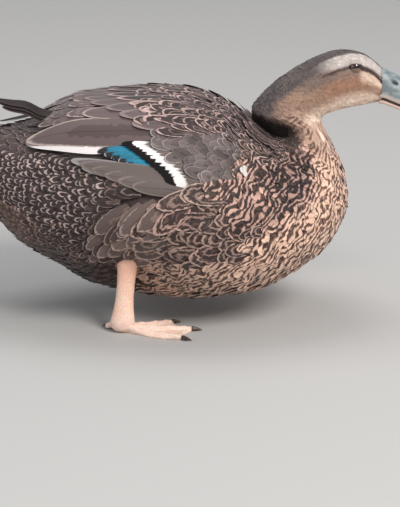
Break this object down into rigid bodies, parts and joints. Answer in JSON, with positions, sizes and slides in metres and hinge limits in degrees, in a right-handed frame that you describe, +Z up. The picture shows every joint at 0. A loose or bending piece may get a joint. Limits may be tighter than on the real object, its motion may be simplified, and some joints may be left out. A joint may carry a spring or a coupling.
{
  "type": "duck hen",
  "caption": "Life-size standing duck hen in brown laced plumage with a blue wing patch, head drawn back, still model on two webbed feet.",
  "frame": {"origin": "middle of the bird's box on the floor it stands on", "axes": "+X towards the bill, +Y towards the bird's left side, +Z up"},
  "size_m": [0.4414, 0.1773, 0.2096],
  "materials": {
    "feathers": "soft matte, laced in buff and dark brown",
    "leg_skin": "scaly, satin",
    "bill": "satin horn",
    "claw": "satin horn",
    "eye": "wet gloss"
  },
  "bodies": {
    "root": {"bill_lower": "bill", "bill_upper": "bill", "claw_hind_left": "claw", "claw_hind_right": "claw", "claw_inner_left": "claw", "claw_inner_right": "claw", "claw_middle_left": "claw", "claw_middle_right": "claw", "claw_outer_left": "claw", "claw_outer_right": "claw", "eye_left": "eye", "eye_right": "eye", "foot_left": "leg_skin", "foot_right": "leg_skin", "head": "feathers", "neck": "feathers", "shank_left": "leg_skin", "shank_right": "leg_skin", "tail": "feathers", "thigh_left": "feathers", "thigh_right": "feathers", "trunk": "feathers", "wing_left": "feathers", "wing_right": "feathers"}
  },
  "joints": []
}
